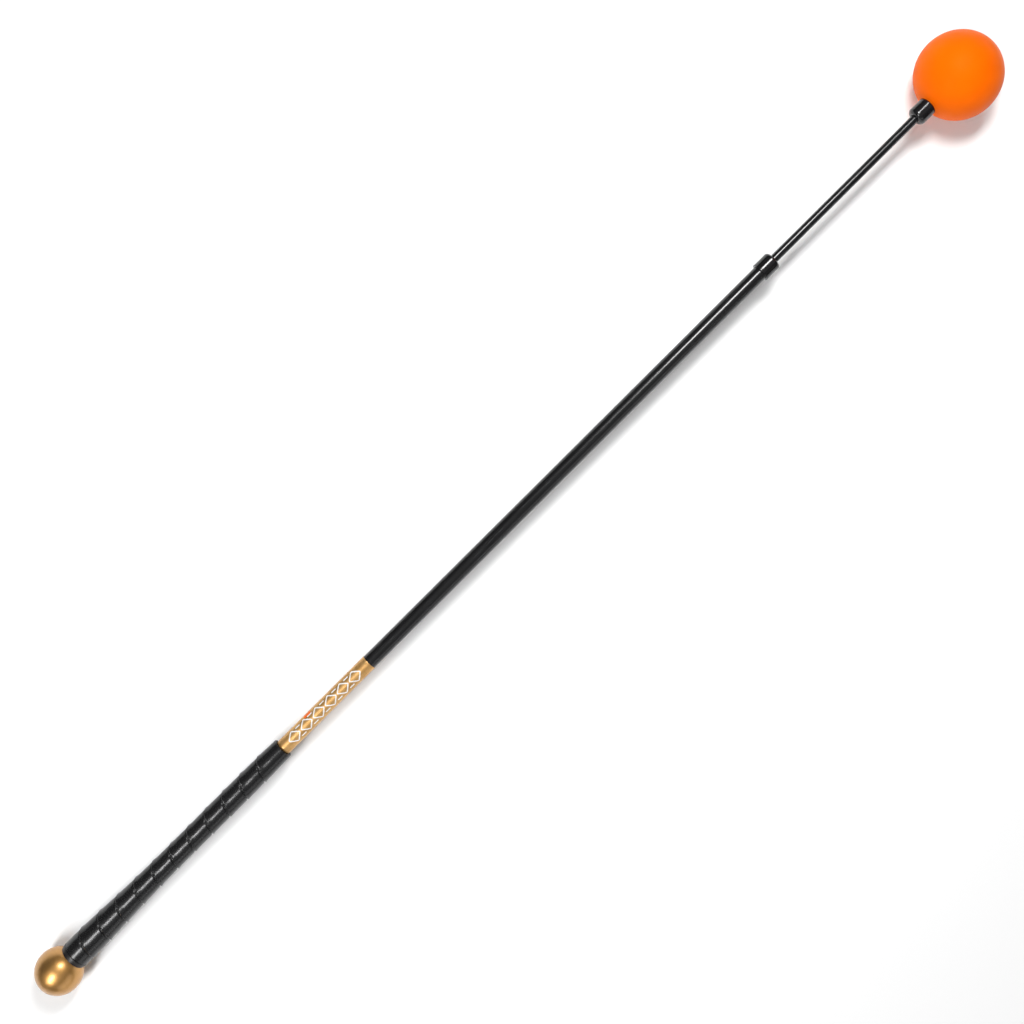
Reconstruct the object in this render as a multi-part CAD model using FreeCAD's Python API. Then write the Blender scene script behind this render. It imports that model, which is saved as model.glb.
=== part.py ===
"""Swing trainer stick: a weighted, flexible practice club for golf.

A black fibreglass rod runs the whole length of the stick.  From the butt to a vinyl
end cap it is sheathed by a flexible tube, on which the rubber grip and a foil label
band sit; beyond the cap the rod is bare up to the weighted head ball.  A steel ball
screwed to the butt is the counterweight.

Every piece is turned about the stick's own axis.  A station is a distance in
millimetres along that axis, from the centre of the counterweight ball towards the
head ball.  The finished stick is then laid down on its two balls: +X from butt to
head, +Z up, origin on the ground below the middle of the stick.
"""
import FreeCAD, Part

import os
from math import asin, cos, degrees, sin, sqrt

# Driving dimensions, in millimetres
OVERALL_LENGTH = 1105.0         # outside of one ball to outside of the other
HEAD_BALL_RADIUS = 36.0
COUNTERWEIGHT_RADIUS = 20.0
TUBE_RADIUS = 6.5
TUBE_WALL = 1.5
ROD_RADIUS = 3.65
GRIP_BUTT_RADIUS = 12.4
GRIP_WRAP_RADIUS = 9.55         # where the spiral wrap ends
GRIP_NOSE_RADIUS = 9.05
CAP_RADIUS = 8.1                # the two vinyl caps
RUNNING_GAP = 0.05              # radial gap between a flexing piece and what guides it
END_GAP = 0.3                   # play at the ends of a flexing piece

# Stations that the eye reads off the stick
GRIP_NOSE = 251.0
GRIP_MOUTH = 264.0
BAND_END = 365.0
TUBE_CAP_OPEN = 820.0
TUBE_CAP_CLOSED = 835.5
BALL_CAP_CLOSED = 998.5
HEAD_CENTRE = OVERALL_LENGTH - HEAD_BALL_RADIUS - COUNTERWEIGHT_RADIUS

# Butt: the ball's flat, a washer, then the insert's flange against the tube's end
BALL_FLAT = 18.5
WASHER_THICKNESS = 1.5
FLANGE_THICKNESS = 2.0
WASHER_RADIUS = 7.0
STUD_RADIUS = 3.0
STUD_DEPTH_IN_BALL = 22.0
TAPPED_HOLE_SPARE = 2.0
INSERT_LENGTH = 34.0
WEB_START = 39.0
WEB_END = 43.0
BUTT_PIN_RADIUS = 1.0
CAP_RIM_RADIUS = 11.7
CAP_BACK = 20.5
TUBE_START = BALL_FLAT + WASHER_THICKNESS + FLANGE_THICKNESS
INSERT_END = TUBE_START - FLANGE_THICKNESS + INSERT_LENGTH
BUTT_PIN_STATION = (WEB_START + WEB_END) / 2

# Sleeves on the tube
TUBE_BORE = TUBE_RADIUS - TUBE_WALL
SLEEVE_BORE = TUBE_RADIUS + RUNNING_GAP
TAPE_THICKNESS = 0.3
BAND_THICKNESS = 0.2
GRIP_BORE = SLEEVE_BORE + TAPE_THICKNESS
TAPE_END = GRIP_MOUTH - 2.0

# Vinyl caps and the neck
TUBE_CAP_EDGE = 2.5
BALL_CAP_EDGE = 4.0
CAP_END_WALL = 2.5
ROD_HOLE = ROD_RADIUS + RUNNING_GAP
TUBE_END = TUBE_CAP_CLOSED - CAP_END_WALL
NECK_START = BALL_CAP_CLOSED + CAP_END_WALL

# Head ball
SHELL_THICKNESS = 4.0
CORE_GAP = 0.05
SOCKET_SHOULDER = 1024.0
SOCKET_END = 1068.0
SOCKET_RADIUS = 7.5
SOCKET_FLOOR = 3.0

# Four nylon bushings centre the rod; two of them part the tube into equal thirds
BUSHING_LENGTH = 16.0
TUBE_THIRD = (TUBE_CAP_OPEN - BAND_END) / 3
GRIP_BUSHING = GRIP_MOUTH - 12.0
LOWER_BUSHING = BAND_END + TUBE_THIRD
UPPER_BUSHING = TUBE_CAP_OPEN - TUBE_THIRD
TIP_BUSHING = TUBE_END - 9.0

# The stick's tilt once it lies on its two unequal balls
TILT = asin((HEAD_BALL_RADIUS - COUNTERWEIGHT_RADIUS) / HEAD_CENTRE)
GROUND_LENGTH = COUNTERWEIGHT_RADIUS + HEAD_CENTRE * cos(TILT) + HEAD_BALL_RADIUS
BUTT_X = COUNTERWEIGHT_RADIUS - GROUND_LENGTH / 2

AXIS = FreeCAD.Vector(1, 0, 0)


def point(station, radius):
    """A point of a half-profile."""
    return FreeCAD.Vector(station, 0, radius)


def turned(edges):
    """Turn a closed half-profile, given as edges, once around the stick's axis."""
    face = Part.Face(Part.Wire(Part.__sortEdges__(edges)))
    return face.revolve(FreeCAD.Vector(0, 0, 0), AXIS, 360)


def runs(corners):
    """Straight edges through a list of (station, radius) corners."""
    points = [point(station, radius) for station, radius in corners]
    return [Part.makeLine(a, b) for a, b in zip(points, points[1:])]


def rod(start, end, radius):
    """A solid round bar along the axis."""
    return Part.makeCylinder(radius, end - start, point(start, 0), AXIS)


def sleeve(start, end, bore, radius):
    """A round tube along the axis."""
    return rod(start, end, radius).cut(rod(start, end, bore))


def ball_station(radius_from_axis, ball_radius):
    """How far from its centre a ball has the given radius about the axis."""
    return sqrt(ball_radius ** 2 - radius_from_axis ** 2)


def turned_cap(closed, opened, radius, edge_radius, bore, hole):
    """A cap with one rounded end: closed but for the rod's hole at one station, open at the other."""
    way = 1 if opened > closed else -1
    inner = closed + way * CAP_END_WALL
    corner = edge_radius * (1 - sqrt(0.5))
    edges = runs([
        (closed + way * edge_radius, radius),
        (opened, radius),
        (opened, bore),
        (inner, bore),
        (inner, hole),
        (closed, hole),
        (closed, radius - edge_radius),
    ])
    rounding = Part.Arc(
        point(closed, radius - edge_radius),
        point(closed + way * corner, radius - corner),
        point(closed + way * edge_radius, radius),
    )
    return turned(edges + [rounding.toShape()])


# ---- handle -----------------------------------------------------------------------

def counterweight_ball():
    """A steel ball with a flat and a tapped hole facing the grip."""
    ball = Part.makeSphere(COUNTERWEIGHT_RADIUS)
    beyond = COUNTERWEIGHT_RADIUS + 1
    ball = ball.cut(rod(BALL_FLAT, beyond, COUNTERWEIGHT_RADIUS))
    hole_start = BALL_FLAT - STUD_DEPTH_IN_BALL - TAPPED_HOLE_SPARE
    return ball.cut(rod(hole_start, beyond, STUD_RADIUS))


def counterweight_stud():
    return rod(BALL_FLAT - STUD_DEPTH_IN_BALL, WEB_START - 1, STUD_RADIUS)


def seat_washer():
    return sleeve(BALL_FLAT, BALL_FLAT + WASHER_THICKNESS, STUD_RADIUS, WASHER_RADIUS)


def butt_insert():
    """Brass plug in the tube's butt: stud thread, a web with the cross pin, the rod's socket."""
    flange_start = TUBE_START - FLANGE_THICKNESS
    body = rod(flange_start, TUBE_START, TUBE_RADIUS)
    body = body.fuse(rod(TUBE_START, INSERT_END, TUBE_BORE - RUNNING_GAP)).removeSplitter()
    body = body.cut(rod(flange_start, WEB_START, STUD_RADIUS))
    body = body.cut(rod(WEB_END, INSERT_END, ROD_HOLE))
    return body.cut(cross_bar(BUTT_PIN_RADIUS, TUBE_RADIUS))


def cross_bar(radius, half_length):
    """A bar square to the axis through the insert's web, along Y."""
    start = FreeCAD.Vector(BUTT_PIN_STATION, -half_length, 0)
    return Part.makeCylinder(radius, 2 * half_length, start, FreeCAD.Vector(0, 1, 0))


def butt_pin():
    """Holds the tube on the insert; its ends are cut to the tube's outside."""
    return cross_bar(BUTT_PIN_RADIUS, 2 * TUBE_RADIUS).common(rod(WEB_START, WEB_END, TUBE_RADIUS))


def grip_end_cap():
    """Rubber ring between the grip and the ball, dished to the ball."""
    hole = ball_station(BALL_FLAT, COUNTERWEIGHT_RADIUS)
    rim = ball_station(CAP_RIM_RADIUS, COUNTERWEIGHT_RADIUS)
    middle_radius = (hole + CAP_RIM_RADIUS) / 2
    middle = ball_station(middle_radius, COUNTERWEIGHT_RADIUS)
    dish = Part.Arc(point(BALL_FLAT, hole), point(middle, middle_radius), point(rim, CAP_RIM_RADIUS))
    shoulder_radius = GRIP_BUTT_RADIUS - (GRIP_BUTT_RADIUS - CAP_RIM_RADIUS) / 4
    shoulder = Part.Arc(
        point(rim, CAP_RIM_RADIUS),
        point((rim + CAP_BACK) / 2, shoulder_radius),
        point(CAP_BACK, GRIP_BUTT_RADIUS),
    )
    sides = runs([(CAP_BACK, GRIP_BUTT_RADIUS), (CAP_BACK, hole), (BALL_FLAT, hole)])
    return turned(sides + [dish.toShape(), shoulder.toShape()])


def grip():
    """Rubber grip: thick at the butt, tapering through its wrap, then a plain nose."""
    outline = [
        (CAP_BACK, GRIP_BUTT_RADIUS),
        (CAP_BACK + 21.0, 12.25),
        (CAP_BACK + 54.0, 10.95),
        (CAP_BACK + 84.0, 10.0),
        (CAP_BACK + 150.0, 9.7),
        (GRIP_NOSE, GRIP_WRAP_RADIUS),
    ]
    curve = Part.BSplineCurve()
    curve.interpolate([point(station, radius) for station, radius in outline])
    sides = runs([
        (GRIP_NOSE, GRIP_WRAP_RADIUS),
        (GRIP_NOSE, GRIP_NOSE_RADIUS),
        (GRIP_MOUTH, GRIP_NOSE_RADIUS),
        (GRIP_MOUTH, GRIP_BORE),
        (CAP_BACK, GRIP_BORE),
        (CAP_BACK, GRIP_BUTT_RADIUS),
    ])
    return turned(sides + [curve.toShape()])


def grip_tape():
    return sleeve(TUBE_START, TAPE_END, SLEEVE_BORE, GRIP_BORE)


def label_band():
    return sleeve(GRIP_MOUTH, BAND_END, SLEEVE_BORE, SLEEVE_BORE + BAND_THICKNESS)


def bushing(station):
    """Nylon ring that centres the rod in the tube and lets both slide a little as they bend."""
    half = BUSHING_LENGTH / 2
    return sleeve(station - half, station + half, ROD_HOLE, TUBE_BORE - RUNNING_GAP)


# ---- shaft ------------------------------------------------------------------------

def shaft_tube():
    """Flexible outer tube, cross-drilled near the butt for the insert's pin."""
    tube = sleeve(TUBE_START + END_GAP, TUBE_END - END_GAP, TUBE_BORE, TUBE_RADIUS)
    return tube.cut(cross_bar(BUTT_PIN_RADIUS + RUNNING_GAP, TUBE_RADIUS + 1))


def flex_rod():
    """Fibreglass rod from the butt insert to the floor of the head's socket."""
    return rod(WEB_END + END_GAP, SOCKET_END - SOCKET_FLOOR - END_GAP, ROD_RADIUS)


def tube_end_cap():
    return turned_cap(
        TUBE_CAP_CLOSED, TUBE_CAP_OPEN, CAP_RADIUS, TUBE_CAP_EDGE, SLEEVE_BORE, ROD_HOLE)


# ---- head -------------------------------------------------------------------------

def ball_cap():
    """Vinyl cap over the neck tube, its rim against the head ball."""
    cap = turned_cap(BALL_CAP_CLOSED, HEAD_CENTRE, CAP_RADIUS, BALL_CAP_EDGE, TUBE_RADIUS, ROD_HOLE)
    return cap.cut(Part.makeSphere(HEAD_BALL_RADIUS, point(HEAD_CENTRE, 0)))


def neck_tube():
    """Short length of the outer tube, from under the cap to the socket's shoulder."""
    return sleeve(NECK_START, SOCKET_SHOULDER, TUBE_BORE, TUBE_RADIUS)


def rod_socket():
    """Brass socket that the rod's end is held in: a spigot inside the neck tube, then a thick barrel."""
    body = rod(NECK_START + 1, SOCKET_SHOULDER, TUBE_BORE - RUNNING_GAP)
    body = body.fuse(rod(SOCKET_SHOULDER, SOCKET_END, SOCKET_RADIUS)).removeSplitter()
    return body.cut(rod(NECK_START, SOCKET_END - SOCKET_FLOOR, ROD_HOLE))


def head_hollow():
    """The room that the neck tube and the socket take inside the head ball."""
    neck = rod(HEAD_CENTRE - 2 * HEAD_BALL_RADIUS, SOCKET_SHOULDER, TUBE_RADIUS)
    return neck.fuse(rod(SOCKET_SHOULDER, SOCKET_END, SOCKET_RADIUS))


def ball_core():
    """Weighted rubber core."""
    core = Part.makeSphere(HEAD_BALL_RADIUS - SHELL_THICKNESS - CORE_GAP, point(HEAD_CENTRE, 0))
    return core.cut(head_hollow())


def ball_shell():
    """Tough outer skin of the head ball."""
    shell = Part.makeSphere(HEAD_BALL_RADIUS, point(HEAD_CENTRE, 0))
    shell = shell.cut(Part.makeSphere(HEAD_BALL_RADIUS - SHELL_THICKNESS, point(HEAD_CENTRE, 0)))
    return shell.cut(head_hollow())


# ---- the stick, laid down on its balls ----------------------------------------------

def laid_down(shape):
    """Tilt a piece with the stick and set the two balls on the ground."""
    shape = shape.copy()
    shape.rotate(FreeCAD.Vector(0, 0, 0), FreeCAD.Vector(0, 1, 0), -degrees(TILT))
    shape.translate(FreeCAD.Vector(BUTT_X, 0, COUNTERWEIGHT_RADIUS))
    return shape


PIECES = {
    "counterweight_ball": counterweight_ball(),
    "counterweight_stud": counterweight_stud(),
    "seat_washer": seat_washer(),
    "butt_insert": butt_insert(),
    "butt_pin": butt_pin(),
    "grip_end_cap": grip_end_cap(),
    "grip": grip(),
    "grip_tape": grip_tape(),
    "label_band": label_band(),
    "grip_bushing": bushing(GRIP_BUSHING),
    "shaft_tube": shaft_tube(),
    "lower_bushing": bushing(LOWER_BUSHING),
    "flex_rod": flex_rod(),
    "upper_bushing": bushing(UPPER_BUSHING),
    "tip_bushing": bushing(TIP_BUSHING),
    "tube_end_cap": tube_end_cap(),
    "ball_cap": ball_cap(),
    "neck_tube": neck_tube(),
    "rod_socket": rod_socket(),
    "ball_core": ball_core(),
    "ball_shell": ball_shell(),
}

# The shaft's bending is told by four upright hinges, in the middle of each free stretch
HINGES = {
    "whip": BAND_END + TUBE_THIRD / 2,
    "whip_middle": (BAND_END + TUBE_CAP_OPEN) / 2,
    "whip_upper": TUBE_CAP_OPEN - TUBE_THIRD / 2,
    "whip_rod": (TUBE_CAP_CLOSED + BALL_CAP_CLOSED) / 2,
}

os.makedirs("parts", exist_ok=True)
for name, piece in PIECES.items():
    if not piece.isValid() or len(piece.Solids) != 1:
        raise ValueError(f"{name} is not one valid solid")
    laid_down(piece).exportStep(f"parts/{name}.step")

whole = Part.makeCompound([laid_down(piece) for piece in PIECES.values()]).BoundBox
print(f"{len(PIECES)} pieces, {whole.XLength:.2f} x {whole.YLength:.2f} x {whole.ZLength:.2f} mm")
print(f"x {whole.XMin:.3f} to {whole.XMax:.3f}, z {whole.ZMin:.4f} to {whole.ZMax:.3f}")
for name, station in HINGES.items():
    height = COUNTERWEIGHT_RADIUS + station * sin(TILT)
    print(f"{name}: hinge at x {BUTT_X + station * cos(TILT):.3f}, z {height:.3f} mm")
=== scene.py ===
"""Looks of the swing trainer stick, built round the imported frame.

A station is a distance in metres along the stick's axis, from the centre of the
counterweight ball towards the head ball.  Every piece is modelled along its own X axis
with stations as X, and PLACE then lays it down where the frame's balls are.
"""
from itertools import product
from math import asin, atan2, cos, degrees, pi, radians, sin, sqrt, tau

import bmesh
import bpy
import numpy as np
from mathutils import Matrix, Vector, noise


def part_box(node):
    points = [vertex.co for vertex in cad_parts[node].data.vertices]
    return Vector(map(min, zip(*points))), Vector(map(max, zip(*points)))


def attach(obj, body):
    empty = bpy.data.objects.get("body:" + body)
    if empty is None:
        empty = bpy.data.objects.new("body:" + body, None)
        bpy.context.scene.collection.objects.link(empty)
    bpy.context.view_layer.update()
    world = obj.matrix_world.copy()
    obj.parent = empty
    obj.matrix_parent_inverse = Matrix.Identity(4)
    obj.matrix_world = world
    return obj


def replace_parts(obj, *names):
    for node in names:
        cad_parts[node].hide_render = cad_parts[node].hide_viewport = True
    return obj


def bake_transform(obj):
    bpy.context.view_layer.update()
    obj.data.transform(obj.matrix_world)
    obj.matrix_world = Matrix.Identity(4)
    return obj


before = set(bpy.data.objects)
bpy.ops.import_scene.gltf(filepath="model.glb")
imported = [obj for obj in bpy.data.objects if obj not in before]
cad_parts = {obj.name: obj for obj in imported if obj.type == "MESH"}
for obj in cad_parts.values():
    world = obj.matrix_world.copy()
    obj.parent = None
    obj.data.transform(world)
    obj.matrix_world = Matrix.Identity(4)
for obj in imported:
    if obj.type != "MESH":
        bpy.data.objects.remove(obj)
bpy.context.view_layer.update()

MM = 0.001


# ---- the stick's axis and its stations, read from the frame ---------------------------

def ball_centre(node, at_low_end):
    """Centre and radius of a ball, from the ground up and from its outer end inwards."""
    low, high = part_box(node)
    radius = (high.z - low.z) / 2
    x = low.x + radius if at_low_end else high.x - radius
    return Vector((x, 0, (low.z + high.z) / 2)), radius


BUTT, BUTT_RADIUS = ball_centre("counterweight_ball", True)
HEAD, HEAD_RADIUS = ball_centre("ball_shell", False)
AXIS = (HEAD - BUTT).normalized()
HEAD_STATION = (HEAD - BUTT).length
PLACE = Matrix.Translation(BUTT) @ Matrix.Rotation(-asin(AXIS.z), 4, "Y")


def span(node):
    """First and last station, and largest radius about the axis, of a CAD node."""
    points = [v.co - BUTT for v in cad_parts[node].data.vertices]
    stations = [p.dot(AXIS) for p in points]
    radius = max((p - AXIS * s).length for p, s in zip(points, stations))
    return min(stations), max(stations), radius


def middle(node):
    first, last, _ = span(node)
    return (first + last) / 2


CAP_START, CAP_BACK, GRIP_BUTT_RADIUS = span("grip_end_cap")
GRIP_START, GRIP_MOUTH, _ = span("grip")
BAND_START, BAND_END, BAND_RADIUS = span("label_band")
TUBE_START, TUBE_END, TUBE_RADIUS = span("shaft_tube")
ROD_START, ROD_END, ROD_RADIUS = span("flex_rod")
TUBE_CAP_START, TUBE_CAP_END, TUBE_CAP_RADIUS = span("tube_end_cap")
BALL_CAP_START, _, BALL_CAP_RADIUS = span("ball_cap")
LOWER_BUSHING = middle("lower_bushing")
UPPER_BUSHING = middle("upper_bushing")
TUBE_BORE = span("lower_bushing")[2] + 0.05 * MM
GRIP_BORE = span("grip_tape")[2]


# ---- meshes ---------------------------------------------------------------------------

def new_piece(name, vertices, faces, material, place=PLACE, sharp_angle=35):
    """A closed smooth-shaded mesh, facing outwards, with sharp edges only where its faces really turn."""
    mesh = bpy.data.meshes.new(name)
    mesh.from_pydata(vertices, [], faces)
    mesh.validate()
    solid = bmesh.new()
    solid.from_mesh(mesh)
    bmesh.ops.recalc_face_normals(solid, faces=solid.faces)
    solid.to_mesh(mesh)
    solid.free()
    mesh.shade_smooth()
    mesh.set_sharp_from_angle(angle=radians(sharp_angle))
    mesh.materials.append(material)
    piece = bpy.data.objects.new(name, mesh)
    bpy.context.scene.collection.objects.link(piece)
    piece.matrix_world = place
    return piece


def stitched(rows):
    """Faces between neighbouring rows of vertices, the last row joining the first.

    A row repeats its first vertex at its end; corners that share a vertex drop out."""
    faces = []
    for a, b in zip(rows, rows[1:] + rows[:1]):
        for j in range(len(a) - 1):
            corners = dict.fromkeys((a[j], b[j], b[j + 1], a[j + 1]))
            if len(corners) > 2:
                faces.append(tuple(corners))
    return faces


def lathe(name, profile, material, sides=96, relief=None):
    """Turn a closed profile of (station, radius) about the axis; a point on the axis makes a pole.

    relief(station, angle) adds to the radius of every point that isn't on the axis."""
    vertices, rows = [], []
    for station, radius in profile:
        if radius < 1e-7:
            rows.append([len(vertices)] * (sides + 1))
            vertices.append((station, 0, 0))
            continue
        row = []
        for j in range(sides):
            angle = tau * j / sides
            r = radius + (relief(station, angle) if relief else 0)
            row.append(len(vertices))
            vertices.append((station, -r * sin(angle), r * cos(angle)))
        rows.append(row + row[:1])
    return new_piece(name, vertices, stitched(rows), material)


def arc(centre_station, centre_radius, radius, start, end, steps):
    """Profile points on a circle; angles in degrees, 0 towards the head, 90 away from the axis."""
    angles = [radians(start + (end - start) * i / steps) for i in range(steps + 1)]
    return [(centre_station + radius * cos(a), centre_radius + radius * sin(a)) for a in angles]


def steps_between(first, last, step):
    """Evenly spaced values from first to last, no further apart than step."""
    count = max(1, int(np.ceil(abs(last - first) / step)))
    return [first + (last - first) * i / count for i in range(count + 1)]


def smooth(x):
    x = min(1, max(0, x))
    return x * x * (3 - 2 * x)


# ---- materials ------------------------------------------------------------------------

class Shader:
    """A principled material with short ways to add the nodes that give it detail."""

    def __init__(self, name, **sockets):
        self.material = bpy.data.materials.new(name)
        self.material.use_nodes = True
        self.nodes = self.material.node_tree.nodes
        self.links = self.material.node_tree.links
        self.bsdf = self.nodes["Principled BSDF"]
        self.height = None
        for socket, value in sockets.items():
            self.bsdf.inputs[socket.replace("_", " ")].default_value = value

    def add(self, kind, inputs=None, **settings):
        node = self.nodes.new(kind)
        for key, value in settings.items():
            setattr(node, key, value)
        for key, value in (inputs or {}).items():
            if isinstance(value, bpy.types.NodeSocket):
                self.links.new(value, node.inputs[key])
            else:
                node.inputs[key].default_value = value
        return node

    def coordinates(self, stretch):
        place = self.add("ShaderNodeTexCoord").outputs["Object"]
        return self.add("ShaderNodeMapping", {"Vector": place, "Scale": stretch}).outputs["Vector"]

    def noise(self, scale, detail=4, roughness=0.5, stretch=(1, 1, 1)):
        return self.add("ShaderNodeTexNoise", {
            "Vector": self.coordinates(stretch), "Scale": scale,
            "Detail": detail, "Roughness": roughness}).outputs["Fac"]

    def cells(self, scale):
        return self.add("ShaderNodeTexVoronoi", {
            "Vector": self.coordinates((1, 1, 1)), "Scale": scale}).outputs["Distance"]

    def ranged(self, value, low, high, to_low, to_high):
        return self.add("ShaderNodeMapRange", {
            "Value": value, "From Min": low, "From Max": high,
            "To Min": to_low, "To Max": to_high}).outputs["Result"]

    def ramp(self, value, *stops):
        node = self.add("ShaderNodeValToRGB", {"Fac": value})
        elements = node.color_ramp.elements
        while len(elements) < len(stops):
            elements.new(0.5)
        for element, (position, colour) in zip(elements, stops):
            element.position = position
            element.color = (*colour, 1)
        return node.outputs["Color"]

    def drive(self, socket, value):
        self.links.new(value, self.bsdf.inputs[socket])

    def bump(self, value, distance, strength=1.0):
        """Add a bump of this many metres on top of the ones already there."""
        inputs = {"Height": value, "Distance": distance, "Strength": strength}
        if self.height is not None:
            inputs["Normal"] = self.height
        self.height = self.add("ShaderNodeBump", inputs).outputs["Normal"]
        self.drive("Normal", self.height)


def gold_paint():
    """Satin metallic paint: fine flake, slight orange peel, cloudy colour."""
    s = Shader("gold_paint", Metallic=1.0, Specular_Tint=(0.72, 0.70, 0.68, 1),
               Coat_Weight=0.8, Coat_Roughness=0.24)
    shade = s.ramp(s.noise(90, 3), (0.3, (0.55, 0.285, 0.080)), (0.7, (0.61, 0.330, 0.104)))
    sparkle = s.ranged(s.cells(4200), 0.0, 0.9, 0.92, 1.12)
    mixed = s.add("ShaderNodeMix", {"Factor": 1.0, "A": shade, "B": sparkle}, data_type="RGBA",
                  blend_type="MULTIPLY")
    s.drive("Base Color", mixed.outputs["Result"])
    s.drive("Roughness", s.ranged(s.noise(60, 5), 0.3, 0.7, 0.37, 0.45))
    s.bump(s.noise(1400, 2), 0.00002)
    s.bump(s.noise(220, 3), 0.00006)
    return s.material


def orange_skin():
    """Satin moulded skin with a fine leathery grain."""
    s = Shader("orange_skin", IOR=1.17, Specular_Tint=(1.0, 0.50, 0.20, 1))
    shade = s.ramp(s.noise(38, 4), (0.3, (0.86, 0.126, 0.0005)), (0.7, (0.92, 0.143, 0.001)))
    s.drive("Base Color", shade)
    s.drive("Roughness", s.ranged(s.noise(140, 6, 0.7), 0.3, 0.7, 0.40, 0.52))
    s.bump(s.cells(1500), 0.00005)
    s.bump(s.noise(160, 5), 0.00012)
    return s.material


def grip_rubber():
    """Semi-gloss rubber: pores and a cloth-like fine grain, paler where the grain is high."""
    s = Shader("grip_rubber")
    grain = s.noise(2600, 6, 0.75)
    shade = s.ramp(grain, (0.35, (0.004, 0.004, 0.0044)), (0.75, (0.014, 0.014, 0.0147)))
    s.drive("Base Color", shade)
    s.drive("Roughness", s.ranged(s.noise(900, 5, 0.7), 0.3, 0.7, 0.18, 0.31))
    pores = s.ranged(s.cells(1050), 0.05, 0.42, 0.0, 1.0)
    s.bump(pores, 0.00003, 0.8)
    s.bump(grain, 0.000008, 0.8)
    return s.material


def plain_rubber():
    """The same rubber where the mould is smooth: the grip's end cap."""
    s = Shader("plain_rubber")
    shade = s.ramp(s.noise(700, 5), (0.3, (0.005, 0.005, 0.0055)), (0.8, (0.016, 0.016, 0.017)))
    s.drive("Base Color", shade)
    s.drive("Roughness", s.ranged(s.noise(400, 5), 0.3, 0.7, 0.30, 0.44))
    s.bump(s.noise(1800, 4), 0.00004)
    return s.material


def gold_foil():
    """Foil label brushed round the tube, under a clear film."""
    s = Shader("gold_foil", Metallic=0.8, Coat_Weight=0.25, Coat_Roughness=0.25)
    brushed = s.noise(900, 3, 0.6, stretch=(6.0, 0.35, 0.35))
    cloudy = s.noise(130, 3)
    both = s.add("ShaderNodeMath", {0: brushed, 1: cloudy}, operation="MULTIPLY").outputs["Value"]
    s.drive("Base Color", s.ramp(both, (0.12, (0.54, 0.29, 0.085)), (0.42, (0.76, 0.46, 0.18))))
    s.drive("Roughness", s.ranged(brushed, 0.3, 0.7, 0.38, 0.52))
    s.bump(brushed, 0.00002)
    return s.material


def printed_ink(name, colour):
    s = Shader(name, IOR=1.25)
    dark = tuple(c * 0.93 for c in colour)
    s.drive("Base Color", s.ramp(s.noise(1800, 3), (0.3, dark), (0.7, colour)))
    s.drive("Roughness", s.ranged(s.noise(700, 3), 0.3, 0.7, 0.35, 0.48))
    s.bump(s.noise(2500, 2), 0.00001)
    return s.material


def black_gloss(name, roughness, ripple):
    """Glossy black: hairline scuffs along the stick and a soft ripple in the surface."""
    s = Shader(name, IOR=1.42, Coat_Weight=0.35, Coat_Roughness=0.13)
    scuffs = s.noise(420, 6, 0.7, stretch=(0.12, 1.0, 1.0))
    s.drive("Base Color", s.ramp(scuffs, (0.35, (0.003, 0.003, 0.0033)), (0.8, (0.010, 0.010, 0.011))))
    s.drive("Roughness", s.ranged(scuffs, 0.3, 0.7, roughness, roughness + 0.10))
    s.bump(s.noise(1500, 4), 0.000012)
    s.bump(s.noise(110, 2), ripple)
    return s.material


def machined(name, low, high, roughness):
    """Turned metal with fine tool marks round the axis."""
    s = Shader(name, Metallic=1.0)
    marks = s.noise(1500, 3, 0.6, stretch=(4.0, 0.2, 0.2))
    s.drive("Base Color", s.ramp(marks, (0.3, low), (0.7, high)))
    s.drive("Roughness", s.ranged(marks, 0.3, 0.7, roughness, roughness + 0.15))
    s.bump(marks, 0.00002)
    return s.material


def dull(name, low, high, scale, depth):
    """Matt material with a mottled colour and a grain: nylon, tape or the ball's core."""
    s = Shader(name)
    mottle = s.noise(scale, 5, 0.6)
    s.drive("Base Color", s.ramp(mottle, (0.3, low), (0.7, high)))
    s.drive("Roughness", s.ranged(s.noise(scale * 3, 4), 0.3, 0.7, 0.55, 0.75))
    s.bump(mottle, depth)
    return s.material


GOLD_PAINT = gold_paint()
ORANGE_SKIN = orange_skin()
GRIP_RUBBER = grip_rubber()
PLAIN_RUBBER = plain_rubber()
GOLD_FOIL = gold_foil()
WHITE_INK = printed_ink("white_ink", (0.88, 0.88, 0.86))
ORANGE_INK = printed_ink("orange_ink", (0.95, 0.13, 0.001))
TUBE_BLACK = black_gloss("tube_black", 0.20, 0.00002)
ROD_BLACK = black_gloss("rod_black", 0.20, 0.00001)
VINYL_BLACK = black_gloss("vinyl_black", 0.14, 0.00004)
STEEL = machined("steel", (0.42, 0.43, 0.45), (0.62, 0.63, 0.65), 0.22)
BRASS = machined("brass", (0.62, 0.44, 0.17), (0.80, 0.60, 0.27), 0.20)
NYLON = dull("nylon", (0.72, 0.70, 0.63), (0.85, 0.84, 0.78), 350, 0.00003)
TAPE = dull("tape", (0.62, 0.56, 0.44), (0.78, 0.72, 0.60), 500, 0.00005)
CORE_RUBBER = dull("core_rubber", (0.05, 0.045, 0.045), (0.11, 0.10, 0.10), 260, 0.00010)


# ---- handle -----------------------------------------------------------------------------

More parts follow.
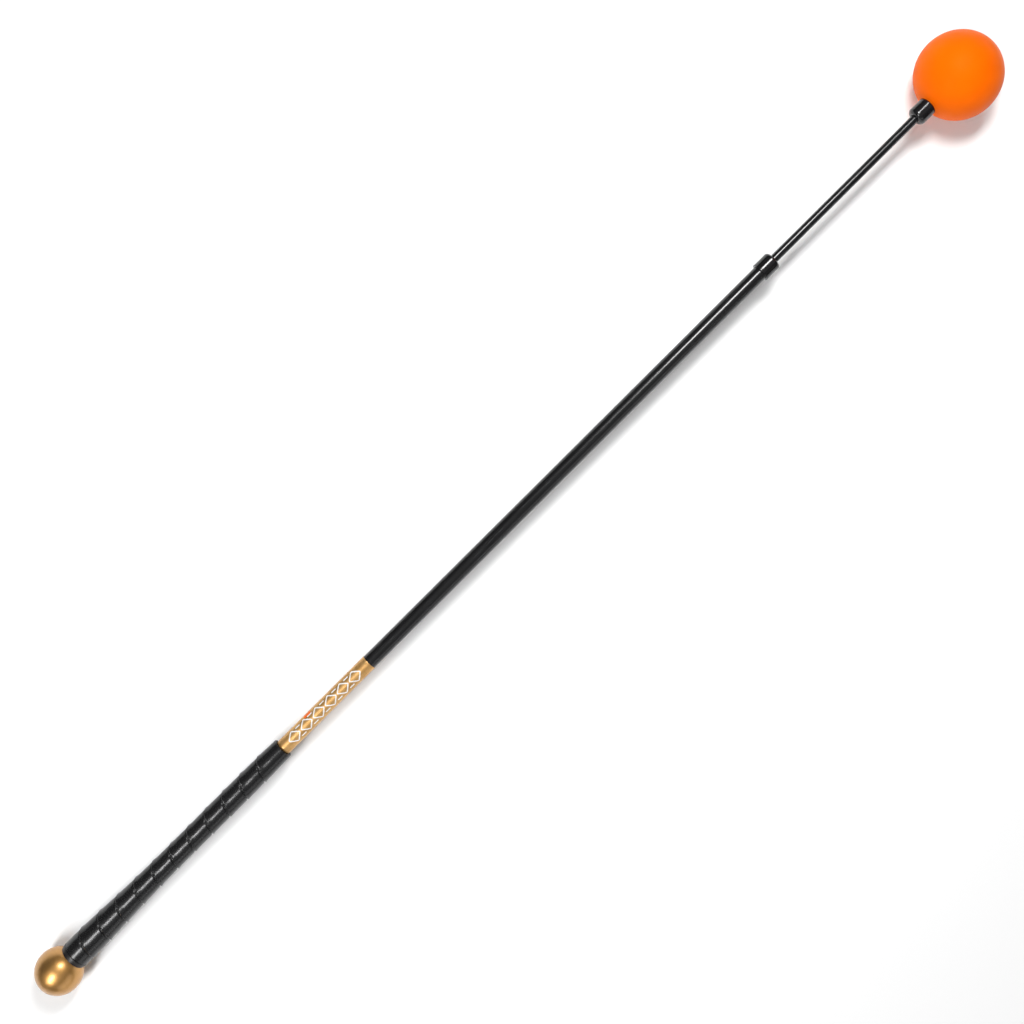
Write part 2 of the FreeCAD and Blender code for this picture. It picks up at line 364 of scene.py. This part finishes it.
def counterweight_ball():
    """Painted steel ball with its flat and the mouth of the stud's hole."""
    flat = span("counterweight_ball")[1]
    stud_start, _, stud_radius = span("counterweight_stud")
    edge = degrees(asin(sqrt(BUTT_RADIUS ** 2 - flat ** 2) / BUTT_RADIUS))
    surface = arc(0, 0, BUTT_RADIUS, 180, edge, 90)
    lip = 0.3 * MM
    mouth = [(flat, stud_radius + lip), (flat - lip, stud_radius)]
    bottom = [(stud_start, stud_radius), (stud_start, 0)]
    surface[0] = (-BUTT_RADIUS, 0)

    def paint(station, angle):
        place = Vector((station, cos(angle) * 0.02, sin(angle) * 0.02)) * 55
        return -0.02 * MM - 0.02 * MM * noise.noise(place)

    return lathe("gold_ball", surface + mouth + bottom, GOLD_PAINT, 160, paint)


def grip_end_cap():
    """Dished rubber ring with a rounded shoulder and the bead where it meets the grip."""
    inner = sqrt(BUTT_RADIUS ** 2 - span("counterweight_ball")[1] ** 2)
    rim = sqrt(BUTT_RADIUS ** 2 - CAP_START ** 2)
    first, last = (degrees(asin(r / BUTT_RADIUS)) for r in (inner, rim))
    dish = arc(0, 0, BUTT_RADIUS + 0.02 * MM, first, last, 10)
    shoulder = []
    for station in steps_between(CAP_START, CAP_BACK, 0.35 * MM):
        rise = sin(pi / 2 * (station - CAP_START) / (CAP_BACK - CAP_START))
        shoulder.append((station + 0.02 * MM, rim + (GRIP_BUTT_RADIUS - rim) * rise))
    seam = [(CAP_BACK - 0.25 * MM, GRIP_BUTT_RADIUS - 0.35 * MM), (CAP_BACK, GRIP_BUTT_RADIUS - 0.6 * MM)]
    back = [(CAP_BACK, inner)]
    return lathe("grip_cap", dish + shoulder[1:-1] + seam + back, PLAIN_RUBBER, 128)


WRAP_PITCH = 20.5 * MM
WRAP_FIRST = 33.0 * MM          # station of the first seam on the upper side
GROOVE_WIDTH = 0.95 * MM        # from the bottom of the groove to its edge
GROOVE_DEPTH = 0.80 * MM
BEAD_CENTRE = 1.45 * MM         # the turn's edge is a narrow bead just past the groove
BEAD_WIDTH = 1.4 * MM
BEAD_HEIGHT = 0.22 * MM
LIP_RISE = 1.5 * MM             # behind the bead the turn stands proud, then eases down
LIP_FALL = 4.5 * MM
LIP_HEIGHT = 0.24 * MM
SAG_START = 0.55                # the share of a turn from which it thins towards the next groove
SAG_DEPTH = 0.16 * MM
WOBBLE = 0.036 * MM             # unevenness of the groove's edges
BUTT_FADE = 4 * MM              # the wrap grows from nothing at the butt and ends at the nose
NOSE_FADE = 1.2 * MM
NOSE_LENGTH = 13.0 * MM
MOUTH_DISH = 1.8 * MM           # the end face is hollowed, so a dark ring shows round the band


def grip_outline():
    """The grip's plain outline as stations and radii, read off the CAD node."""
    stations, radii = [], []
    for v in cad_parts["grip"].data.vertices:
        offset = v.co - BUTT
        station = offset.dot(AXIS)
        stations.append(station)
        radii.append((offset - AXIS * station).length)
    rows = sorted((s, r) for s, r in zip(stations, radii) if r > GRIP_BORE + 1 * MM)
    return np.array([s for s, _ in rows]), np.array([r for _, r in rows])


GRIP_STATIONS, GRIP_RADII = grip_outline()


def grip_radius(station):
    return float(np.interp(station, GRIP_STATIONS, GRIP_RADII))


def wrap_relief(station, angle):
    """Height of the spiral wrap: a groove, a bead and the raised lip of the next turn."""
    nose = GRIP_MOUTH - NOSE_LENGTH
    lean = WRAP_PITCH * angle / tau
    turn = (station - WRAP_FIRST + lean) % WRAP_PITCH
    wobble = WOBBLE * noise.noise(Vector((station * 300, cos(angle) * 2, sin(angle) * 2)))
    groove = min(turn, WRAP_PITCH - turn) + wobble
    height = LIP_HEIGHT * smooth(turn / LIP_RISE) * smooth((LIP_RISE + LIP_FALL - turn) / LIP_FALL)
    sag = smooth((turn / WRAP_PITCH - SAG_START) / (1 - SAG_START))
    height -= SAG_DEPTH * sag * smooth((WRAP_PITCH - turn) / GROOVE_WIDTH)
    if groove < GROOVE_WIDTH:
        height -= GROOVE_DEPTH * (0.5 + 0.5 * cos(pi * groove / GROOVE_WIDTH))
    if abs(turn - BEAD_CENTRE) < BEAD_WIDTH / 2:
        height += BEAD_HEIGHT * (0.5 + 0.5 * cos(tau * (turn - BEAD_CENTRE) / BEAD_WIDTH))
    fade = smooth((nose - station) / NOSE_FADE) * smooth((station - GRIP_START) / BUTT_FADE)
    return height * fade


GRIP_SIDES = 128
GROOVE_STEP = 0.12 * MM         # the mesh's rows follow the wrap: close together at the groove
TURN_STEP = 0.85 * MM           # and further apart on the smooth part of each turn
FADE_STEP = 0.2 * MM            # rings where the wrap fades out, and on the plain nose
NOSE_STEP = 0.6 * MM


def wrap_phases():
    """Where the mesh has rows over one turn of the wrap, measured from the groove's bottom."""
    bead_end = BEAD_CENTRE + BEAD_WIDTH
    groove_start = WRAP_PITCH - 1.2 * GROOVE_WIDTH
    phases = steps_between(0, bead_end, GROOVE_STEP)
    phases += steps_between(bead_end, groove_start, TURN_STEP)[1:]
    phases += steps_between(groove_start, WRAP_PITCH, GROOVE_STEP)[1:-1]
    return phases


class GripMesh:
    """The grip's vertices; each point, ring or turn comes back as indices into them."""

    def __init__(self):
        self.vertices = []

    def point(self, station, side, radius=None):
        """One point; without a radius it lies on the wrapped surface."""
        angle = tau * side / GRIP_SIDES
        if radius is None:
            radius = grip_radius(station) + wrap_relief(station, angle)
        self.vertices.append((station, -radius * sin(angle), radius * cos(angle)))
        return len(self.vertices) - 1

    def ring(self, station, radius=None):
        row = [self.point(station, side, radius) for side in range(GRIP_SIDES)]
        return row + row[:1]

    def spiral(self, low, high, bottom, top):
        """Rows that run along the wrap; past low and high they fall onto the rings there."""
        rows, phases = [], wrap_phases()
        first_turn = int(np.floor((low - WRAP_FIRST) / WRAP_PITCH))
        last_turn = int(np.ceil((high - WRAP_FIRST) / WRAP_PITCH)) + 1
        for turn, phase in product(range(first_turn, last_turn + 1), phases):
            row = []
            for side in range(GRIP_SIDES):
                station = WRAP_FIRST + turn * WRAP_PITCH + phase - WRAP_PITCH * side / GRIP_SIDES
                if station < low + GROOVE_STEP:
                    row.append(bottom[side])
                elif station > high - GROOVE_STEP:
                    row.append(top[side])
                else:
                    row.append(self.point(station, side))
            one_turn_back = rows[-len(phases)] if len(rows) >= len(phases) else bottom
            rows.append(row + one_turn_back[:1])
        return rows


def grip():
    """Rubber grip: outline from the frame, spiral wrap raised in the mesh, plain nose, open mouth."""
    start, mouth = GRIP_START, GRIP_MOUTH
    nose_start, nose_end = mouth - NOSE_LENGTH, mouth - 0.6 * MM
    low, high = start + 0.5 * MM, nose_start - 1.4 * MM
    first, last = grip_radius(low), grip_radius(nose_end)
    mesh = GripMesh()
    bottom, top = mesh.ring(low), mesh.ring(high)
    wrap = mesh.spiral(low, high, bottom, top)
    butt = [(start, GRIP_BORE), (start, first - 0.6 * MM), (start + 0.15 * MM, first - 0.2 * MM)]
    fade = steps_between(high, nose_start, FADE_STEP)[1:]
    nose = steps_between(nose_start, nose_end, NOSE_STEP)[1:]
    lip = [
        (mouth - 0.18 * MM, last - 0.12 * MM),
        (mouth, last - 0.55 * MM),
        (mouth, last - 0.85 * MM),
        (mouth - 0.35 * MM, last - 1.10 * MM),
        (mouth - MOUTH_DISH, GRIP_BORE + 0.3 * MM),
        (mouth - MOUTH_DISH - 0.3 * MM, GRIP_BORE),
    ]
    rows = [mesh.ring(*place) for place in butt] + [bottom] + wrap + [top]
    rows += [mesh.ring(station) for station in fade + nose] + [mesh.ring(*place) for place in lip]
    return new_piece("grip_wrap", mesh.vertices, stitched(rows), GRIP_RUBBER)


FOIL = 0.02 * MM                # the step where the foil laps over itself, out of sight below
LAP_START, LAP_END = radians(165), radians(300)


def label_band():
    """Foil sleeve: a thin shell with turned edges and the lap where the foil closes on itself."""
    edge = 0.06 * MM
    inner = TUBE_RADIUS + FOIL
    stations = steps_between(BAND_START + edge, BAND_END - edge, 2 * MM)
    outer = [(s, BAND_RADIUS - FOIL) for s in stations]
    ends = [(BAND_END, BAND_RADIUS - edge), (BAND_END, inner), (BAND_START, inner),
            (BAND_START, BAND_RADIUS - edge)]

    def lap(station, angle):
        return FOIL * smooth((angle - LAP_START) / radians(2)) if angle < LAP_END else 0

    return lathe("foil_band", outer + ends, GOLD_FOIL, 144, lap)


# ---- printing on the band: an argyle row and a block of bars, no lettering ----------------

INK_WIDTH = 1.05 * MM
INK_LIFT = 0.035 * MM
INK_ROOT = -0.02 * MM            # a line's outer edges dip into the foil
PRINT_START = GRIP_MOUTH + 8.0 * MM
PRINT_END = BAND_END - 8.8 * MM
PRINT_HALF_HEIGHT = 5.4 * MM     # measured round the band, from its upper side
DIAMONDS = 6
TIP_GAP = 1.6 * MM               # between the tips of neighbouring diamonds
BAR_LENGTH = 5.0 * MM
BAR_ACROSS = 4.4 * MM
CORNER_CUT = 0.8 * MM
MARK_START = 30.8 * MM           # from the grip's mouth
MARK_LENGTH = 7.0 * MM
MARK_LOW, MARK_HIGH = 4.9 * MM, 11.5 * MM
MARK_BARS = 3
MARK_FILL = 0.86                 # the share of the mark's height that the bars cover


def band_point(station, across, lift):
    """A point on the band: across is measured round it from the top, towards +Y."""
    angle = across / BAND_RADIUS
    r = BAND_RADIUS + lift
    return (station, r * sin(angle), r * cos(angle))


def ribbon(path, width, closed):
    """An inked line: a closed thin strip, bevelled at its edges, bent round the band."""
    count = len(path)
    points = [Vector(p) for p in path]
    sides = []
    for i, p in enumerate(points):
        before = points[i - 1] if closed or i else p
        after = points[(i + 1) % count] if closed or i < count - 1 else p
        one = (p - before).normalized() if (p - before).length else (after - p).normalized()
        two = (after - p).normalized() if (after - p).length else one
        along = (one + two).normalized()
        side = Vector((-along.y, along.x))
        reach = width / 2 / max(0.35, side.dot(Vector((-one.y, one.x))))
        sides.append(side * reach)
    vertices = []
    for p, side in zip(points, sides):
        for share, lift in ((-1, INK_ROOT), (-0.9, INK_LIFT), (0.9, INK_LIFT), (1, INK_ROOT)):
            q = p + side * share
            vertices.append(band_point(q.x, q.y, lift))
    faces = []
    for i in range(count if closed else count - 1):
        a, b = 4 * i, 4 * ((i + 1) % count)
        for j in range(4):
            k = (j + 1) % 4
            faces.append((a + j, a + k, b + k, b + j))
    if not closed:
        faces += [(3, 2, 1, 0), tuple(4 * (count - 1) + j for j in range(4))]
    return vertices, faces


def fine(corners, closed):
    """The same outline with extra points, so that it can bend round the band."""
    path = []
    ends = corners[1:] + corners[:1] if closed else corners[1:]
    for a, b in zip(corners, ends):
        start, end = Vector(a), Vector(b)
        steps = max(1, int((end - start).length / (0.5 * MM)))
        path += [tuple(start.lerp(end, i / steps)) for i in range(steps)]
    return path if closed else path + [corners[-1]]


def rounded(corners, cut):
    """Cut the corners of a closed outline with short chords along a curve."""
    path = []
    count = len(corners)
    for i in range(count):
        before, here, after = (Vector(corners[j % count]) for j in (i - 1, i, i + 1))
        start = here + (before - here).normalized() * cut
        end = here + (after - here).normalized() * cut
        for share in (0, 0.25, 0.5, 0.75, 1):
            path.append(tuple(start.lerp(here, share).lerp(here.lerp(end, share), share)))
    return path


def joined(name, parts, material):
    """One piece made of several inked lines."""
    vertices, faces = [], []
    for part_vertices, part_faces in parts:
        faces += [tuple(i + len(vertices) for i in face) for face in part_faces]
        vertices += part_vertices
    return new_piece(name, vertices, faces, material)


def diamond(centre, half_length, half_height):
    """An inked diamond outline."""
    corners = [
        (centre - half_length, 0),
        (centre, -half_height),
        (centre + half_length, 0),
        (centre, half_height),
    ]
    return ribbon(fine(rounded(corners, CORNER_CUT), True), INK_WIDTH, True)


def band_print():
    """An argyle ornament: diamonds end to end, with a short bar in each notch between them."""
    pitch = (PRINT_END - PRINT_START) / DIAMONDS
    half_length = (pitch - TIP_GAP) / 2
    parts = []
    for i in range(DIAMONDS):
        parts.append(diamond(PRINT_START + pitch * (i + 0.5), half_length, PRINT_HALF_HEIGHT))
    for i in range(1, DIAMONDS):
        notch = PRINT_START + pitch * i
        for across in (-BAR_ACROSS, BAR_ACROSS):
            line = [(notch - BAR_LENGTH / 2, across), (notch + BAR_LENGTH / 2, across)]
            parts.append(ribbon(fine(line, False), INK_WIDTH, False))
    return joined("band_print", parts, WHITE_INK)


def band_mark():
    """A small block of orange bars printed on the +Y side of the band."""
    start = GRIP_MOUTH + MARK_START
    bar = (MARK_HIGH - MARK_LOW) / MARK_BARS
    parts = []
    for i in range(MARK_BARS):
        across = MARK_LOW + bar * (i + 0.5)
        line = [(start, across), (start + MARK_LENGTH, across)]
        parts.append(ribbon(fine(line, False), bar * MARK_FILL, False))
    return joined("band_mark", parts, ORANGE_INK)


# ---- shaft: pieces split at the joints, baked straight in place --------------------------

def pipe(name, first, last, bore, radius, material, sides):
    """A length of tube, ringed every few millimetres; bore 0 makes a solid bar."""
    stations = steps_between(first, last, 3 * MM)
    profile = [(s, radius) for s in stations]
    profile += [(s, bore) for s in reversed(stations)] if bore else [(last, 0), (first, 0)]
    return lathe(name, profile, material, sides)


def bend(piece):
    """Bake a piece's placing into its mesh; it is not blended across any hinge."""
    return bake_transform(piece)


STRETCHES = [
    ("lower", "handle", "shaft_lower", BAND_END, LOWER_BUSHING),
    ("middle", "shaft_lower", "shaft_upper", LOWER_BUSHING, UPPER_BUSHING),
    ("upper", "shaft_upper", "shaft_tip", UPPER_BUSHING, TUBE_CAP_START),
    ("tip", "shaft_tip", "head", TUBE_CAP_END, BALL_CAP_START),
]
TUBE_BREAKS = [TUBE_START, LOWER_BUSHING, UPPER_BUSHING, TUBE_END]
ROD_BREAKS = [ROD_START, LOWER_BUSHING, UPPER_BUSHING, TUBE_CAP_END - 1 * MM, ROD_END]


def shaft():
    """The tube in three pieces and the rod in four, split at the joints and baked straight in place."""
    for i, (word, a, b, start, end) in enumerate(STRETCHES):
        if i < len(TUBE_BREAKS) - 1:
            first, last = TUBE_BREAKS[i:i + 2]
            tube = pipe(f"tube_{word}", first, last, TUBE_BORE, TUBE_RADIUS, TUBE_BLACK, 64)
            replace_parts(bend(tube), "shaft_tube")
        first, last = ROD_BREAKS[i:i + 2]
        rod = pipe(f"rod_{word}", first, last, 0, ROD_RADIUS, ROD_BLACK, 48)
        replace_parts(bend(rod), "flex_rod")


CAP_WALL = 2.5 * MM             # thickness of a cap's closed end
ROD_HOLE = ROD_RADIUS + 0.08 * MM


def vinyl_cap(name, closed, opened, radius, edge, bore, flare):
    """Dip-moulded cap: rounded closed end, soft collar round the rod, free rim flared a little."""
    way = 1 if opened > closed else -1
    centre = closed + way * edge
    rounding = arc(centre, radius - edge, edge, 90 + 90 * way, 90, 14)
    side = []
    for station in steps_between(centre, opened - way * 0.5 * MM, 0.5 * MM)[1:]:
        share = abs(station - centre) / abs(opened - centre)
        side.append((station, radius + flare * smooth((share - 0.7) / 0.3) ** 2))
    rim = [(opened - way * 0.12 * MM, radius + flare - 0.15 * MM), (opened, radius + flare - 0.45 * MM),
           (opened, bore)]
    inner = [(closed + way * CAP_WALL, bore), (closed + way * CAP_WALL, ROD_HOLE)]
    mouth = [(closed + way * 0.35 * MM, ROD_HOLE), (closed, ROD_HOLE + 0.35 * MM)]

    def dents(station, angle):
        place = Vector((station * 160, cos(angle), sin(angle)))
        return 0.05 * MM * noise.noise(place)

    return lathe(name, rounding + side + rim + inner + mouth, VINYL_BLACK, 96, dents)


def tube_end_cap():
    bore = TUBE_RADIUS + 0.08 * MM
    return vinyl_cap("tube_cap", TUBE_CAP_END, TUBE_CAP_START, TUBE_CAP_RADIUS, 2.5 * MM, bore, 0.25 * MM)


# ---- head -----------------------------------------------------------------------------------

def ball_cap():
    """The same cap over the neck, its rim against the ball's skin."""
    rim = HEAD_STATION - sqrt(HEAD_RADIUS ** 2 - BALL_CAP_RADIUS ** 2)
    bore = TUBE_RADIUS + 0.03 * MM
    return vinyl_cap("neck_cap", BALL_CAP_START, rim, BALL_CAP_RADIUS, 3.6 * MM, bore, 0)


def ball_shell():
    """Moulded skin with the neck's hole, a faint parting line and a hand-polished unevenness."""
    low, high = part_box("ball_core")
    inside = (high.z - low.z) / 2 + 0.03 * MM
    outer_edge = 180 - degrees(asin(TUBE_RADIUS / HEAD_RADIUS))
    inner_edge = 180 - degrees(asin(TUBE_RADIUS / inside))
    outer = arc(HEAD_STATION, 0, HEAD_RADIUS, outer_edge, 0, 120)
    inner = arc(HEAD_STATION, 0, inside, 0, inner_edge, 60)
    outer[-1] = (HEAD_STATION + HEAD_RADIUS, 0)
    inner[0] = (HEAD_STATION + inside, 0)

    def skin(station, angle):
        from_centre = station - HEAD_STATION
        place = Vector((from_centre * 30, cos(angle) * 0.6, sin(angle) * 0.6))
        line = 0.03 * MM * max(0, 1 - abs(from_centre) / (0.5 * MM))
        return -0.05 * MM - 0.04 * MM * noise.noise(place) + line

    return lathe("orange_ball", outer + inner, ORANGE_SKIN, 192, skin)


# ---- putting the pieces on their bodies --------------------------------------------------------

PIECES = [
    (counterweight_ball, "handle", "gold_paint", "counterweight_ball"),
    (grip_end_cap, "handle", "grip_rubber", "grip_end_cap"),
    (grip, "handle", "grip_rubber", "grip"),
    (label_band, "handle", "gold_foil", "label_band"),
    (band_print, "handle", "gold_foil", None),
    (band_mark, "handle", "gold_foil", None),
    (tube_end_cap, "shaft_tip", "black_vinyl", "tube_end_cap"),
    (ball_cap, "head", "black_vinyl", "ball_cap"),
    (ball_shell, "head", "orange_skin", "ball_shell"),
]
for make, body, slot, node in PIECES:
    piece = make()
    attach(piece, body)
    if node:
        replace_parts(piece, node)
shaft()

HIDDEN = {
    STEEL: ["counterweight_stud", "seat_washer", "butt_pin"],
    BRASS: ["butt_insert", "rod_socket"],
    NYLON: ["grip_bushing", "lower_bushing", "upper_bushing", "tip_bushing"],
    TAPE: ["grip_tape"],
    TUBE_BLACK: ["neck_tube"],
    CORE_RUBBER: ["ball_core"],
}
for material, nodes in HIDDEN.items():
    for node in nodes:
        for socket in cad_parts[node].material_slots:
            socket.material = material


# ---- floor, light and camera ---------------------------------------------------------------------

def floor():
    """A plain white floor, far wider than the stick."""
    half = 6.0                  # metres, like every size below
    corners = [(-half, -half, 0), (half, -half, 0), (half, half, 0), (-half, half, 0)]
    s = Shader("floor_white", Roughness=0.75, Specular_IOR_Level=0.2)
    s.drive("Base Color", s.ramp(s.noise(0.7, 2), (0.3, (0.93, 0.93, 0.93)), (0.7, (0.95, 0.95, 0.95))))
    plane = new_piece("floor", corners, [(0, 1, 2, 3)], s.material, Matrix.Identity(4))


def softbox(name, place, target, size, power, along=(1, 0, 0)):
    """A rectangular area light facing a target, its first side laid as near to along as it can be."""
    light = bpy.data.lights.new(name, "AREA")
    light.shape = "RECTANGLE"
    light.size, light.size_y = size
    light.energy = power
    holder = bpy.data.objects.new(name, light)
    bpy.context.scene.collection.objects.link(holder)
    back = (Vector(place) - Vector(target)).normalized()
    up = back.cross(Vector(along)).normalized()
    turn = Matrix((up.cross(back), up, back)).transposed()
    holder.matrix_world = Matrix.Translation(place) @ turn.to_4x4()


def surroundings(strength):
    world = bpy.data.worlds.new("studio")
    world.use_nodes = True
    background = world.node_tree.nodes["Background"]
    background.inputs["Color"].default_value = (1, 1, 1, 1)
    background.inputs["Strength"].default_value = strength
    bpy.context.scene.world = world


CAMERA_PLACE = (0.0040, 0.0046, 1.154)
CAMERA_RIGHT = (0.70847, -0.70573)          # the direction on the floor that is right in the picture
FOCAL_LENGTH, FILM_WIDTH = 47.89, 36        # millimetres


def camera():
    """Straight above the stick, turned so that the head lies to the upper right."""
    lens = bpy.data.cameras.new("camera")
    lens.lens = FOCAL_LENGTH
    lens.sensor_width = FILM_WIDTH
    lens.clip_end = 50
    holder = bpy.data.objects.new("camera", lens)
    bpy.context.scene.collection.objects.link(holder)
    holder.location = CAMERA_PLACE
    holder.rotation_euler = (0, 0, atan2(CAMERA_RIGHT[1], CAMERA_RIGHT[0]))
    bpy.context.scene.camera = holder


floor()
softbox("key_right", (0.54, 0.33, 1.15), (0.35, 0, 0), (0.42, 0.28), 12)
softbox("key_left", (-1.18, -0.01, 1.33), (-0.45, 0, 0), (1.05, 0.26), 17, (1.0, 0.31, 0.6))
softbox("kicker", (0.98, 0.33, 1.20), (0.45, 0, 0), (0.22, 0.16), 2.5)
softbox("ceiling", (0, 0, 2.6), (0, 0, 0), (4.0, 4.0), 11)
softbox("side", (-0.45, -1.35, 0.58), (-0.2, -0.4, 0), (2.2, 0.7), 4.6)
surroundings(0.09)
camera()
bpy.context.scene.view_settings.view_transform = "Standard"
